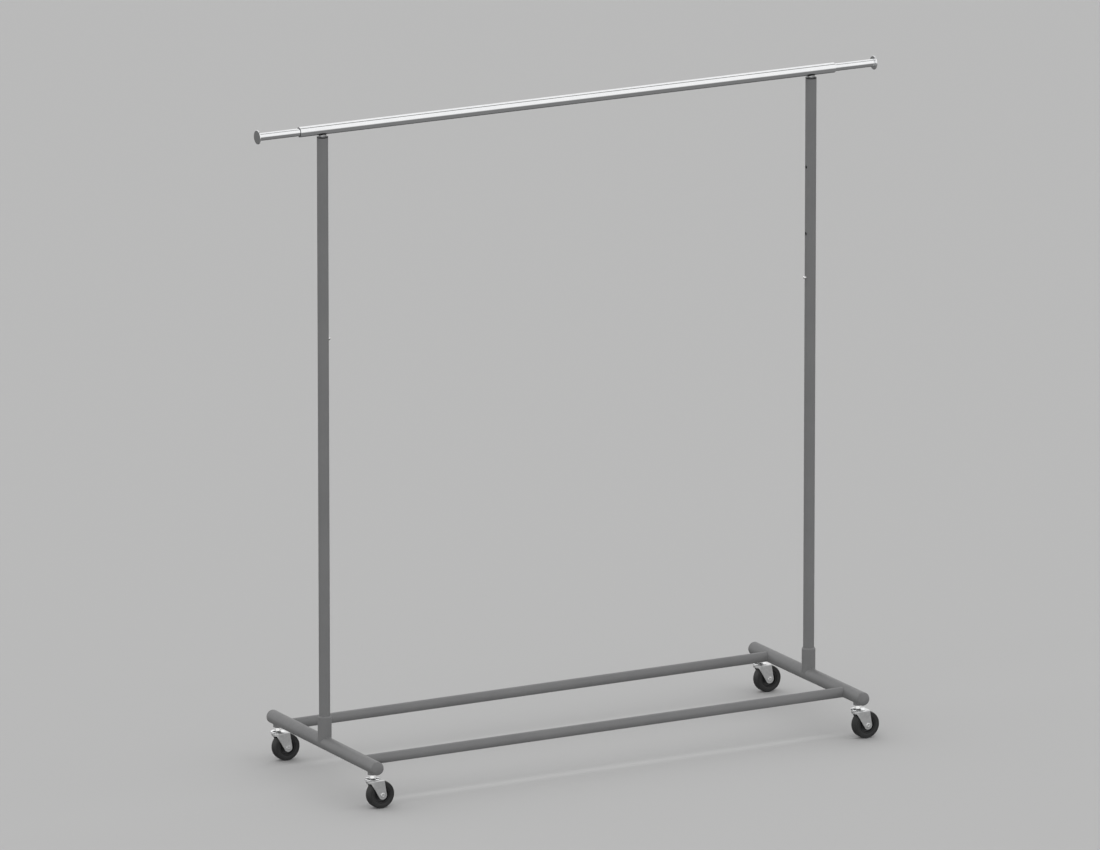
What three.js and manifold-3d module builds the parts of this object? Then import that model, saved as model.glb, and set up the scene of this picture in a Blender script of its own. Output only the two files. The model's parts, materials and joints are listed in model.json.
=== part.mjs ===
// Rolling garment rail: two tubular feet joined by two base bars, four swivel casters, two uprights
// with height-adjusting posts, a chrome hang bar and a pull-out extension at each end of it.
// Millimetres. X runs along the rail, Y is the depth (the front is -Y), Z is up, the floor is z = 0.
import * as THREE from "three";
import { mergeVertices, toCreasedNormals } from "three/addons/utils/BufferGeometryUtils.js";
import Module from "manifold-3d";

const wasm = await Module();
wasm.setup();

// ---- driving dimensions ----
const GAP = 0.3; // clearance between neighbouring pieces
const TUBE_SIDES = 24; // sides of a turned piece
const BUSH_SIDES = 20;
const SMALL_SIDES = 16;
const PIN_SIDES = 12;
const CUTTER_SIDES = 40;
const BEND_SEGMENTS = 8; // straight pieces in a bent or rounded outline
const CREASE = Math.PI / 6;
const OVERRUN = 2; // how far a cutter runs past what it cuts

// base
const UPRIGHT_X = 688; // from the middle of the rail to each upright
const FOOT_AXIS_Z = 108.5;
const FOOT_R = 17;
const FOOT_WALL = 1.5;
const FOOT_HALF = 279; // half the length of a foot tube, without its caps
const CAP_RIM = 1.2;
const CAP_DOME = 8.5;
const CAP_PLUG = 17;
const CAP_WALL = 2;
const BASE_BAR_R = 13;
const BASE_BAR_WALL = 1.4;
const BASE_BAR_Y = 195.5;
const SOCKET_R = 17.25;
const SOCKET_RISE = 70; // top of an upright socket above the foot's axis
const SOCKET_CHAMFER = 2.7;
const SOCKET_CHAMFER_RISE = 4;
const SOCKET_CLEARANCE = 0.4; // around the upright

// uprights and the telescoping posts inside them
const UPRIGHT_R = 13.9;
const UPRIGHT_WALL = 1.5;
const BAR_AXIS_Z = 1668; // at the lowest setting
const COLLAR_TOP_DROP = 17.5; // collar's top below the hang bar's axis
const COLLAR_FLANGE = 2.7;
const COLLAR_PLUG = 40;
const COLLAR_EDGE = 0.5;
const POST_R = 8;
const POST_WALL = 1.5;
const POST_TOP_DROP = 7; // highest point of the post's coped end below the bar's axis
const BUTTON_DROP = 530.4; // snap button below the hang bar's axis
const HOLE_STEPS = [0, 112.5, 283.5]; // heights of the setting holes above the lowest one
const SETTING_HOLE_R = 4.5;
const GLIDE_BELOW = 42; // post glide below the button
const GLIDE_ABOVE = 30;
const GLIDE_LIP = 7;
const GLIDE_LIP_R = 5;
const GLIDE_CHAMFER = 1;

// snap buttons, measured outwards from the upright's axis
const BUTTON_R = 4.2;
const BUTTON_BACK = 4.9;
const BUTTON_TIP = 19.4;
const BUTTON_DOME = 3.2;
const SPRING_WIDTH = 7;
const SPRING_THICK = 0.8;
const SPRING_FRONT = BUTTON_BACK - GAP;
const SPRING_BACK = -5.1;
const SPRING_RISE = 26;
const SPRING_DROP = 6;

// hang bar and its extensions
const BAR_R = 12.75;
const BAR_WALL = 1.2;
const BAR_HALF = 753;
const BUSH_LENGTH = 45;
const EXTENSION_R = 9.6;
const EXTENSION_WALL = 1;
const EXTENSION_OUT = 866; // outer end of an extension tube, as set
const EXTENSION_IN = 557; // its inner end, inside the bar
const STOP_FLANGE_R = 17.5;
const STOP_FLANGE = 2.5;
const STOP_CHAMFER = 0.6;
const STOP_PLUG = 22;
const STOP_WALL = 1.6;
const GUIDE_FLANGE = 8;
const GUIDE_PLUG = 20;
const GUIDE_BORE_R = 6.3;

// casters
const CASTER_Y = 252.5;
const BOSS_R = 11.5;
const BOSS_DROP = 4; // boss below the foot's underside
const STEM_R = 5;
const STEM_TOP_Z = 104;
const HEX_FLATS = 16;
const HEX_BOTTOM_Z = 79;
const CUP_R = 18;
const CUP_BOTTOM_Z = 74.7;
const CUP_THICK = 1.4;
const CUP_LAND_R = 9.5; // flat top that the hex bears on
const CUP_SHOULDER_R = 16;
const CUP_SHOULDER_RISE = 3;
const CUP_BRIM_RISE = 1.8;
const FORK_TOP_Z = 74.4;
const FORK_THICK = 1.8;
const FORK_HALF_WIDTH = 16;
const FORK_BACK_X = 25.5;
const FORK_SKIRT_Z = 66.5;
const FORK_SKIRT_X = -9.5; // where the front skirt ends and the legs start
const RACE_R = 13;
const RACE_HEIGHT = 2.3;
const RACE_SLOPE = 4.5; // width of the race's sloping side
const RACE_ROOT = 1; // depth of the race let into the fork's top
const RIVET_R = 7.5;
const RIVET_THICK = 2.7;
const RIVET_FACE_R = 4.5;
const TRAIL = 21.5; // axle behind the swivel axis
const WHEEL_R = 35;
const WHEEL_SIDES = 32;
const TREAD_HALF = 13;
const TREAD_FLAT_HALF = 9; // flat middle of the tread
const TREAD_SHOULDER = 3.5; // depth of its rounded shoulders
const TYRE_LIP_HALF = 11.5; // where the tyre meets the hub
const TYRE_LIP_WIDTH = 4;
const HUB_R = 21.7;
const HUB_HALF = 10.5;
const HUB_BOSS_R = 8.5;
const HUB_WEB_HALF = 5;
const HUB_RIM = 3;
const HUB_DRAFT = 1; // slope of the hub's moulded sides
const AXLE_R = 4;
const AXLE_HEAD_R = 6.5;
const AXLE_HEAD = 1.9;
const AXLE_EYE_R = 10.8; // rounded end of a fork leg

// ---- materials ----
const finish = (color, roughness, metalness) =>
  new THREE.MeshStandardMaterial({ color, roughness, metalness });
const greyPaint = () => finish(0x77797b, 0.5, 0.15);
const chrome = () => finish(0xdfe2e4, 0.08, 1);
const zinc = () => finish(0xb2b5b4, 0.3, 0.9);
const blackPlastic = () => finish(0x26272a, 0.5, 0);
const greyPlastic = () => finish(0x6b6d6f, 0.6, 0);
const rubber = () => finish(0x1d1d1e, 0.7, 0);
const springSteel = () => finish(0x8c9094, 0.3, 1);

// ---- solids ----

// A manifold-3d solid from a closed three.js geometry, whichever way round its outline was drawn.
function solidFrom(geometry) {
  const bare = geometry.clone();
  bare.deleteAttribute("normal");
  bare.deleteAttribute("uv");
  const merged = mergeVertices(bare, 1e-4);
  const index = merged.index.array;
  const faces = [];
  for (let i = 0; i < index.length; i += 3) {
    const [a, b, c] = index.subarray(i, i + 3);
    if (a !== b && b !== c && c !== a) faces.push([a, b, c]);
  }
  const build = (triangles) =>
    new wasm.Manifold(
      new wasm.Mesh({
        numProp: 3,
        vertProperties: merged.attributes.position.array,
        triVerts: Uint32Array.from(triangles.flat()),
      }),
    );
  const solid = build(faces);
  return solid.volume() > 0 ? solid : build(faces.map(([a, b, c]) => [a, c, b]));
}

// Turns a closed outline of [radius, height] points about Z.
function revolve(outline, sides) {
  const points = outline.map(([radius, height]) => new THREE.Vector2(radius, height));
  const onAxis = outline[0][0] === 0 && outline.at(-1)[0] === 0;
  if (!onAxis) points.push(points[0].clone());
  return solidFrom(new THREE.LatheGeometry(points, sides).rotateX(Math.PI / 2));
}

const rod = (radius, bottom, top, sides = CUTTER_SIDES) =>
  revolve([[0, bottom], [radius, bottom], [radius, top], [0, top]], sides);

const pipe = (outer, inner, bottom, top, sides = TUBE_SIDES) =>
  revolve([[inner, bottom], [outer, bottom], [outer, top], [inner, top]], sides);

// Lays a solid made along Z down along X or Y, keeping low ends low.
const alongX = (solid) => solid.rotate([0, 90, 0]);
const alongY = (solid) => solid.rotate([-90, 0, 0]);

// Raises a flat outline along Z.
function extrude(shape, height) {
  const options = { depth: height, bevelEnabled: false, curveSegments: BEND_SEGMENTS };
  return solidFrom(new THREE.ExtrudeGeometry(shape, options));
}

// ---- base ----

const footCutter = () =>
  alongY(rod(FOOT_R + GAP, -FOOT_HALF, FOOT_HALF)).translate([0, 0, FOOT_AXIS_Z]);

function footTube() {
  const tube = alongY(pipe(FOOT_R, FOOT_R - FOOT_WALL, -FOOT_HALF, FOOT_HALF));
  const stemHole = rod(STEM_R + GAP, -FOOT_R - OVERRUN, -FOOT_R / 2, PIN_SIDES);
  return tube
    .subtract(stemHole.translate([0, -CASTER_Y, 0]))
    .subtract(stemHole.translate([0, CASTER_Y, 0]))
    .translate([0, 0, FOOT_AXIS_Z]);
}

// Domed plug that closes the end of a foot.
function footCap() {
  const domeSteps = 4;
  const rimBase = FOOT_HALF + GAP;
  const dome = [];
  for (let i = 0; i <= domeSteps; i++) {
    const angle = (i / domeSteps) * (Math.PI / 2);
    const radius = i === 0 ? 0 : FOOT_R * Math.sin(angle);
    dome.push([radius, rimBase + CAP_RIM + CAP_DOME * Math.cos(angle)]);
  }
  const plugR = FOOT_R - FOOT_WALL - GAP;
  const plugEnd = FOOT_HALF - CAP_PLUG;
  const outline = [
    ...dome,
    [FOOT_R, rimBase],
    [plugR, rimBase],
    [plugR, plugEnd],
    [plugR - CAP_WALL, plugEnd],
    [plugR - CAP_WALL, rimBase + CAP_RIM],
    [0, rimBase + CAP_RIM + CAP_WALL],
  ];
  return alongY(revolve(outline, TUBE_SIDES)).translate([0, 0, FOOT_AXIS_Z]);
}

// Sleeve that stands on the foot, its lower end cut to sit over the round tube.
function uprightSocket() {
  const bore = UPRIGHT_R + SOCKET_CLEARANCE;
  const outline = [
    [bore, 0],
    [SOCKET_R, 0],
    [SOCKET_R, SOCKET_RISE - SOCKET_CHAMFER_RISE],
    [SOCKET_R - SOCKET_CHAMFER, SOCKET_RISE],
    [bore, SOCKET_RISE],
  ];
  return revolve(outline, TUBE_SIDES).translate([0, 0, FOOT_AXIS_Z]).subtract(footCutter());
}

// Tube between the feet, its ends cut to fit their round sides.
function baseBar(y) {
  const inner = BASE_BAR_R - BASE_BAR_WALL;
  return alongX(pipe(BASE_BAR_R, inner, -UPRIGHT_X, UPRIGHT_X))
    .translate([0, y, FOOT_AXIS_Z])
    .subtract(footCutter().translate([-UPRIGHT_X, 0, 0]))
    .subtract(footCutter().translate([UPRIGHT_X, 0, 0]));
}

// Threaded boss under the foot that takes a caster's stem.
function casterBoss() {
  const bottom = FOOT_AXIS_Z - FOOT_R - BOSS_DROP;
  return pipe(BOSS_R, STEM_R + GAP, bottom, FOOT_AXIS_Z - FOOT_R / 2, SMALL_SIDES).subtract(
    footCutter(),
  );
}

// ---- uprights, posts and snap buttons ----

const COLLAR_TOP = BAR_AXIS_Z - COLLAR_TOP_DROP;
const UPRIGHT_TOP = COLLAR_TOP - COLLAR_FLANGE - GAP;
const BUTTON_Z = BAR_AXIS_Z - BUTTON_DROP;
const UPRIGHT_BORE = UPRIGHT_R - UPRIGHT_WALL;

// Hole through the wall on the +X side, at a height.
const settingHole = (height) =>
  alongX(rod(SETTING_HOLE_R, 0, UPRIGHT_R + OVERRUN, PIN_SIDES)).translate([0, 0, height]);

function upright() {
  let tube = pipe(UPRIGHT_R, UPRIGHT_BORE, FOOT_AXIS_Z + FOOT_R + GAP, UPRIGHT_TOP);
  for (const step of HOLE_STEPS) tube = tube.subtract(settingHole(BUTTON_Z + step));
  return tube;
}

// Guide bush in the top of an upright: a thin flange over a long plug.
function uprightCollar() {
  const plugR = UPRIGHT_BORE - GAP;
  const flangeBottom = COLLAR_TOP - COLLAR_FLANGE;
  const outline = [
    [POST_R + GAP, flangeBottom - COLLAR_PLUG],
    [plugR, flangeBottom - COLLAR_PLUG],
    [plugR, flangeBottom],
    [UPRIGHT_R, flangeBottom],
    [UPRIGHT_R, COLLAR_TOP - COLLAR_EDGE],
    [UPRIGHT_R - COLLAR_EDGE, COLLAR_TOP],
    [POST_R + GAP, COLLAR_TOP],
  ];
  return revolve(outline, TUBE_SIDES);
}

// Inner tube, its top end cut to fit the underside of the hang bar.
function post() {
  const bottom = BUTTON_Z - GLIDE_BELOW + GLIDE_LIP;
  const top = BAR_AXIS_Z - POST_TOP_DROP;
  const barCutter = alongX(rod(BAR_R + GAP, -2 * POST_R, 2 * POST_R)).translate([0, 0, BAR_AXIS_Z]);
  return pipe(POST_R, POST_R - POST_WALL, bottom, top, SMALL_SIDES)
    .subtract(barCutter)
    .subtract(settingHole(BUTTON_Z));
}

// Nylon shoe on the post's lower end that runs inside the upright.
function postGlide() {
  const outerR = UPRIGHT_BORE - GAP;
  const bottom = BUTTON_Z - GLIDE_BELOW;
  const top = BUTTON_Z + GLIDE_ABOVE;
  const outline = [
    [GLIDE_LIP_R, bottom],
    [outerR - GLIDE_CHAMFER, bottom],
    [outerR, bottom + GLIDE_CHAMFER],
    [outerR, top - GLIDE_CHAMFER],
    [outerR - GLIDE_CHAMFER, top],
    [POST_R + GAP, top],
    [POST_R + GAP, bottom + GLIDE_LIP - GAP],
    [GLIDE_LIP_R, bottom + GLIDE_LIP - GAP],
  ];
  return revolve(outline, BUSH_SIDES).subtract(settingHole(BUTTON_Z));
}

// Pin with a domed tip, pointing out along +X.
function snapButton() {
  const domeSteps = 3;
  const outline = [
    [0, BUTTON_BACK],
    [BUTTON_R, BUTTON_BACK],
  ];
  for (let i = domeSteps; i >= 0; i--) {
    const angle = (i / domeSteps) * (Math.PI / 2);
    const radius = i === 0 ? 0 : BUTTON_R * Math.sin(angle);
    outline.push([radius, BUTTON_TIP - BUTTON_DOME + BUTTON_DOME * Math.cos(angle)]);
  }
  return alongX(revolve(outline, PIN_SIDES)).translate([0, 0, BUTTON_Z]);
}

// U-shaped leaf spring in the post that pushes the button out.
function buttonSpring() {
  const bendX = (SPRING_FRONT + SPRING_BACK) / 2;
  const outerR = (SPRING_FRONT - SPRING_BACK) / 2;
  const innerR = outerR - SPRING_THICK;
  const bendZ = SPRING_RISE - outerR;
  const shape = new THREE.Shape();
  shape.moveTo(SPRING_FRONT, -SPRING_DROP);
  shape.lineTo(SPRING_FRONT, bendZ);
  shape.absarc(bendX, bendZ, outerR, 0, Math.PI, false);
  shape.lineTo(SPRING_BACK, -SPRING_DROP);
  shape.lineTo(SPRING_BACK + SPRING_THICK, -SPRING_DROP);
  shape.lineTo(SPRING_BACK + SPRING_THICK, bendZ);
  shape.absarc(bendX, bendZ, innerR, Math.PI, 0, true);
  shape.lineTo(SPRING_FRONT - SPRING_THICK, -SPRING_DROP);
  shape.closePath();
  return extrude(shape, SPRING_WIDTH)
    .rotate([90, 0, 0])
    .translate([0, SPRING_WIDTH / 2, BUTTON_Z]);
}

// ---- hang bar and extensions, drawn for the +X end ----

const onBarAxis = (solid) => alongX(solid).translate([0, 0, BAR_AXIS_Z]);
const BAR_BORE = BAR_R - BAR_WALL;
const EXTENSION_BORE = EXTENSION_R - EXTENSION_WALL;

const hangBar = () => onBarAxis(pipe(BAR_R, BAR_BORE, -BAR_HALF, BAR_HALF));

// Reducing bush inside the end of the bar that the extension slides through.
function barBush() {
  const outer = BAR_HALF - GAP;
  return onBarAxis(pipe(BAR_BORE - GAP, EXTENSION_R + GAP, outer - BUSH_LENGTH, outer));
}

const extensionTube = () =>
  onBarAxis(pipe(EXTENSION_R, EXTENSION_BORE, EXTENSION_IN, EXTENSION_OUT));

// Flanged cap that stops hangers sliding off the end.
function endStop() {
  const plugR = EXTENSION_BORE - GAP;
  const flangeStart = EXTENSION_OUT + GAP;
  const face = flangeStart + STOP_FLANGE;
  const outline = [
    [0, flangeStart],
    [plugR - STOP_WALL, flangeStart],
    [plugR - STOP_WALL, flangeStart - STOP_PLUG],
    [plugR, flangeStart - STOP_PLUG],
    [plugR, flangeStart],
    [STOP_FLANGE_R - STOP_CHAMFER, flangeStart],
    [STOP_FLANGE_R, flangeStart + STOP_CHAMFER],
    [STOP_FLANGE_R, face - STOP_CHAMFER],
    [STOP_FLANGE_R - STOP_CHAMFER, face],
    [0, face],
  ];
  return onBarAxis(revolve(outline, TUBE_SIDES));
}

// Ring on the extension's inner end that centres it in the bar and stops it pulling out.
function extensionGuide() {
  const flangeEnd = EXTENSION_IN - GAP;
  const outline = [
    [GUIDE_BORE_R, flangeEnd - GUIDE_FLANGE],
    [BAR_BORE - GAP, flangeEnd - GUIDE_FLANGE],
    [BAR_BORE - GAP, flangeEnd],
    [EXTENSION_BORE - GAP, flangeEnd],
    [EXTENSION_BORE - GAP, flangeEnd + GUIDE_PLUG],
    [GUIDE_BORE_R, flangeEnd + GUIDE_PLUG],
  ];
  return onBarAxis(revolve(outline, BUSH_SIDES));
}

// ---- caster, with its swivel axis on the origin and the wheel trailing towards +X ----

function casterStem() {
  const hexR = HEX_FLATS / Math.sqrt(3);
  const hexTop = FOOT_AXIS_Z - FOOT_R - BOSS_DROP - GAP;
  const rivetTop = FORK_TOP_Z - FORK_THICK - GAP;
  const shank = rod(STEM_R, rivetTop - RIVET_THICK / 2, STEM_TOP_Z, PIN_SIDES);
  const hex = rod(hexR, HEX_BOTTOM_Z, hexTop, 6);
  const rivetOutline = [
    [0, rivetTop - RIVET_THICK],
    [RIVET_FACE_R, rivetTop - RIVET_THICK],
    [RIVET_R, rivetTop - RIVET_THICK / 2],
    [RIVET_R, rivetTop],
    [0, rivetTop],
  ];
  return shank.add(hex).add(revolve(rivetOutline, PIN_SIDES));
}

// Pressed cup over the ball race.
function raceCup() {
  const top = HEX_BOTTOM_Z - GAP;
  const shoulderZ = CUP_BOTTOM_Z + CUP_SHOULDER_RISE;
  const brimZ = CUP_BOTTOM_Z + CUP_BRIM_RISE;
  const outer = [
    [STEM_R + GAP, top],
    [CUP_LAND_R, top],
    [CUP_SHOULDER_R, shoulderZ],
    [CUP_R, brimZ],
    [CUP_R, CUP_BOTTOM_Z],
  ];
  const inner = [
    [CUP_R - CUP_THICK, CUP_BOTTOM_Z],
    [CUP_R - CUP_THICK, brimZ - CUP_THICK / 4],
    [CUP_SHOULDER_R - CUP_THICK / 2, shoulderZ - CUP_THICK],
    [CUP_LAND_R, top - CUP_THICK],
    [STEM_R + GAP, top - CUP_THICK],
  ];
  return revolve([...outer, ...inner], SMALL_SIDES);
}

// Plan of the fork's wall: half round in front, straight sides running back.
function forkPlan(halfWidth, backX) {
  const shape = new THREE.Shape();
  shape.moveTo(backX, -halfWidth);
  shape.lineTo(backX, halfWidth);
  shape.lineTo(0, halfWidth);
  shape.absarc(0, 0, halfWidth, Math.PI / 2, (Math.PI * 3) / 2, false);
  shape.closePath();
  return shape;
}

// Side view of the fork: top plate, short skirt in front, legs tapering to the rounded axle eyes.
function forkSide() {
  const frontX = -FORK_HALF_WIDTH - OVERRUN;
  const aboveZ = FORK_TOP_Z + OVERRUN;
  const toFront = new THREE.Vector2(FORK_SKIRT_X - TRAIL, FORK_SKIRT_Z - WHEEL_R);
  const tangent = toFront.angle() + Math.acos(AXLE_EYE_R / toFront.length());
  const shape = new THREE.Shape();
  shape.moveTo(frontX, aboveZ);
  shape.lineTo(frontX, FORK_SKIRT_Z);
  shape.lineTo(FORK_SKIRT_X, FORK_SKIRT_Z);
  shape.absarc(TRAIL, WHEEL_R, AXLE_EYE_R, tangent, Math.PI * 2, false);
  shape.lineTo(FORK_BACK_X, aboveZ);
  shape.closePath();
  return shape;
}

// Pressed fork: domed race on top, a wall round the front and a leg down each side of the wheel.
function casterFork() {
  const endX = FORK_BACK_X + AXLE_EYE_R;
  const innerPlan = forkPlan(FORK_HALF_WIDTH - FORK_THICK, endX + OVERRUN);
  const shell = extrude(forkPlan(FORK_HALF_WIDTH, endX), FORK_TOP_Z);
  const inside = extrude(innerPlan, FORK_TOP_Z - FORK_THICK + OVERRUN).translate([0, 0, -OVERRUN]);
  const side = extrude(forkSide(), 4 * FORK_HALF_WIDTH)
    .rotate([90, 0, 0])
    .translate([0, 2 * FORK_HALF_WIDTH, 0]);
  const raceOutline = [
    [0, FORK_TOP_Z - RACE_ROOT],
    [RACE_R, FORK_TOP_Z - RACE_ROOT],
    [RACE_R, FORK_TOP_Z],
    [RACE_R - RACE_SLOPE, FORK_TOP_Z + RACE_HEIGHT],
    [0, FORK_TOP_Z + RACE_HEIGHT],
  ];
  const axleHole = alongY(rod(AXLE_R + GAP, -2 * FORK_HALF_WIDTH, 2 * FORK_HALF_WIDTH, PIN_SIDES));
  return shell
    .subtract(inside)
    .intersect(side)
    .add(revolve(raceOutline, SMALL_SIDES))
    .subtract(rod(STEM_R + GAP, 0, FORK_TOP_Z + 2 * RACE_HEIGHT, PIN_SIDES))
    .subtract(axleHole.translate([TRAIL, 0, WHEEL_R]));
}

// Tyre with rounded shoulders. One of its flats, not an edge, meets the floor.
function tyre() {
  const treadR = WHEEL_R / Math.cos(Math.PI / WHEEL_SIDES);
  const half = [
    [HUB_R + GAP, TYRE_LIP_HALF],
    [HUB_R + TYRE_LIP_WIDTH, TREAD_HALF],
    [treadR - TREAD_SHOULDER, TREAD_HALF],
    [treadR, TREAD_FLAT_HALF],
  ];
  const mirrored = half.map(([radius, y]) => [radius, -y]).reverse();
  return revolve([...half, ...mirrored], WHEEL_SIDES).rotate([0, 0, 180 / WHEEL_SIDES]);
}

// Hub with a bore for the axle, a thin web and a rim under the tyre.
function hub() {
  const bossHalf = FORK_HALF_WIDTH - FORK_THICK - GAP;
  const rimR = HUB_R - HUB_RIM;
  const half = [
    [AXLE_R + GAP, bossHalf],
    [HUB_BOSS_R, bossHalf],
    [HUB_BOSS_R + HUB_DRAFT, HUB_WEB_HALF],
    [rimR - HUB_DRAFT, HUB_WEB_HALF],
    [rimR, HUB_HALF],
    [HUB_R, HUB_HALF],
  ];
  const mirrored = half.map(([radius, y]) => [radius, -y]).reverse();
  return revolve([...half, ...mirrored], SMALL_SIDES);
}

// Axle pin with a spread head at each end.
function axle() {
  const inner = FORK_HALF_WIDTH + GAP;
  const half = [
    [0, inner + AXLE_HEAD],
    [AXLE_R, inner + AXLE_HEAD],
    [AXLE_HEAD_R, inner + AXLE_HEAD / 2],
    [AXLE_HEAD_R, inner],
    [AXLE_R, inner],
  ];
  const mirrored = half.map(([radius, y]) => [radius, -y]).reverse();
  return revolve([...half, ...mirrored], PIN_SIDES);
}

const onWheelAxis = (solid) => alongY(solid).translate([TRAIL, 0, WHEEL_R]);

// ---- assembly ----

const garmentRail = new THREE.Group();
garmentRail.name = "garment_rail";

function place(name, solid, material) {
  const { numProp, vertProperties, triVerts } = solid.getMesh();
  const position = new THREE.BufferAttribute(vertProperties.slice(), numProp);
  const geometry = new THREE.BufferGeometry().setAttribute("position", position);
  geometry.setIndex(new THREE.BufferAttribute(triVerts.slice(), 1));
  const mesh = new THREE.Mesh(toCreasedNormals(geometry, CREASE), material);
  mesh.name = name;
  garmentRail.add(mesh);
}

// Pieces of the left end are drawn once and mirrored for the right.
const ENDS = [
  { side: "left", x: -UPRIGHT_X, facing: (solid) => solid },
  { side: "right", x: UPRIGHT_X, facing: (solid) => solid.mirror([1, 0, 0]) },
];
const ROWS = [
  { row: "front", sign: -1, facing: (solid) => solid.mirror([0, 1, 0]) },
  { row: "rear", sign: 1, facing: (solid) => solid },
];

for (const { side, x, facing } of ENDS) {
  const atUpright = (solid) => facing(solid).translate([x, 0, 0]);
  place(`${side}_foot`, atUpright(footTube()), greyPaint());
  place(`${side}_upright_socket`, atUpright(uprightSocket()), greyPaint());
  place(`${side}_upright`, atUpright(upright()), greyPaint());
  place(`${side}_upright_collar`, atUpright(uprightCollar()), blackPlastic());
  place(`${side}_post`, atUpright(post()), chrome());
  place(`${side}_post_glide`, atUpright(postGlide()), blackPlastic());
  place(`${side}_snap_button`, atUpright(snapButton()), zinc());
  place(`${side}_button_spring`, atUpright(buttonSpring()), springSteel());

  const atBarEnd = (solid) => facing(solid.mirror([1, 0, 0]));
  place(`${side}_bar_bush`, atBarEnd(barBush()), blackPlastic());
  place(`${side}_extension`, atBarEnd(extensionTube()), chrome());
  place(`${side}_end_stop`, atBarEnd(endStop()), chrome());
  place(`${side}_extension_guide`, atBarEnd(extensionGuide()), blackPlastic());

  for (const { row, sign, facing: facingRow } of ROWS) {
    const corner = `${row}_${side}`;
    const atCaster = (solid) => solid.translate([x, sign * CASTER_Y, 0]);
    place(`${corner}_foot_cap`, facingRow(footCap()).translate([x, 0, 0]), greyPlastic());
    place(`${corner}_caster_boss`, atCaster(casterBoss()), greyPaint());
    place(`${corner}_caster_stem`, atCaster(casterStem()), chrome());
    place(`${corner}_race_cup`, atCaster(raceCup()), chrome());
    place(`${corner}_fork`, atCaster(casterFork()), zinc());
    place(`${corner}_tyre`, atCaster(onWheelAxis(tyre())), rubber());
    place(`${corner}_hub`, atCaster(onWheelAxis(hub())), blackPlastic());
    place(`${corner}_axle`, atCaster(onWheelAxis(axle())), zinc());
  }
}

for (const { row, sign } of ROWS) {
  place(`${row}_base_bar`, baseBar(sign * BASE_BAR_Y), greyPaint());
}
place("hang_bar", hangBar(), chrome());

export default garmentRail;
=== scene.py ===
"""Looks of the rolling garment rail: finished shapes, materials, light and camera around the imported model."""

import json
import math

import bmesh
import bpy
from mathutils import Matrix, Vector


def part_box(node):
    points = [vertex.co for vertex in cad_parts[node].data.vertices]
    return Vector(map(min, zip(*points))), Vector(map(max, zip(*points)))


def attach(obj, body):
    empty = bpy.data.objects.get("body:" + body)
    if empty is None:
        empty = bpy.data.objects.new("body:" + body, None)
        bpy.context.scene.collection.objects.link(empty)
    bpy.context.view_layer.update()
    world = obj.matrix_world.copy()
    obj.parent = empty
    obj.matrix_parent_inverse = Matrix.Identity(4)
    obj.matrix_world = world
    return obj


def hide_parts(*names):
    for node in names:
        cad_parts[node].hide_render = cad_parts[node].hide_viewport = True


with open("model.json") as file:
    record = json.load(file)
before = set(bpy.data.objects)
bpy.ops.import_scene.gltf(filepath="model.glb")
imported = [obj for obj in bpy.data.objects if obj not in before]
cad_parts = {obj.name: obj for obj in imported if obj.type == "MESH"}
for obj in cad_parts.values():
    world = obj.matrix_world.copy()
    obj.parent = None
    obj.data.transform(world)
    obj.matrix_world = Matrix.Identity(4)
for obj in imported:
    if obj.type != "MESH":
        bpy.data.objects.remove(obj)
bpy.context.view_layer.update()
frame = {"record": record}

MM = 0.001
SCENE = bpy.context.scene
BODY_OF = {n: body for body, nodes in frame["record"]["behaviour"]["bodies"].items() for n in nodes}

ENDS = (("left", -1), ("right", 1))
ROWS = (("front", -1), ("rear", 1))

# Sizes that a node's box doesn't give, in millimetres.
TUBE_SIDES = 96
SMALL_SIDES = 64
BAR_SIDES = 128
TURNED_SIDES = 48  # stems, axles and drilled holes
TUBE_EDGE = 0.35  # rounding of a cut tube's edges
FOOT_WALL = 1.5
BASE_BAR_WALL = 1.4
UPRIGHT_WALL = 1.5
SOCKET_BORE_GAP = 0.4
SOCKET_CHAMFER = 2.7
SOCKET_CHAMFER_RISE = 4
WELD_R = 0.9
BOSS_WELD_R = 0.7
POST_WELD_R = 1.8
BUSH_SUNK = 1.4  # bush face inside the end of the bar
POST_WALL = 1.5
SETTING_STEPS = (0, 112.5, 283.5)  # setting holes above the lowest one
SETTING_HOLE_R = 4.5
BAR_WALL = 1.2
EXTENSION_WALL = 1.0
GAP = 0.3
AXLE_R = 4
STEM_R = 5
COLLAR_FLANGE = 2.7
STOP_FLANGE = 2.5
STOP_WALL = 1.6
SPRING_THICK = 0.8
BUTTON_DOME = 3.2
HEX_BOTTOM, HEX_TOP, HEX_DRAFT = 79, 87.2, 1.5  # heights above the floor, and taper of the flats
RIVET_TOP, RIVET_THICK = 72.3, 2.7
THREAD_PITCH, THREADS = 1.5, 9
CUP_THICK = 1.2
RACE_R = 13.4


# ---- mesh tools ----


def softened(corners, steps=4):
    """A closed outline of (radius, height, rounding) corners in millimetres, as points in metres with the
    corners turned into arcs."""
    points = []
    for i, (radius, height, rounding) in enumerate(corners):
        here = Vector((radius, height))
        before = Vector(corners[i - 1][:2]) - here
        after = Vector(corners[(i + 1) % len(corners)][:2]) - here
        if not rounding:
            points.append(here * MM)
            continue
        half = before.angle(after) / 2
        reach = min(rounding / math.tan(half), before.length * 0.49, after.length * 0.49)
        arc_r = reach * math.tan(half)
        middle = here + (before.normalized() + after.normalized()).normalized() * arc_r / math.sin(half)
        start = here + before.normalized() * reach - middle
        end = here + after.normalized() * reach - middle
        sweep = start.angle(end)
        for k in range(steps + 1):
            part = k / steps
            weight = math.sin((1 - part) * sweep), math.sin(part * sweep)
            points.append((middle + (start * weight[0] + end * weight[1]) / math.sin(sweep)) * MM)
    return points


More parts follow.
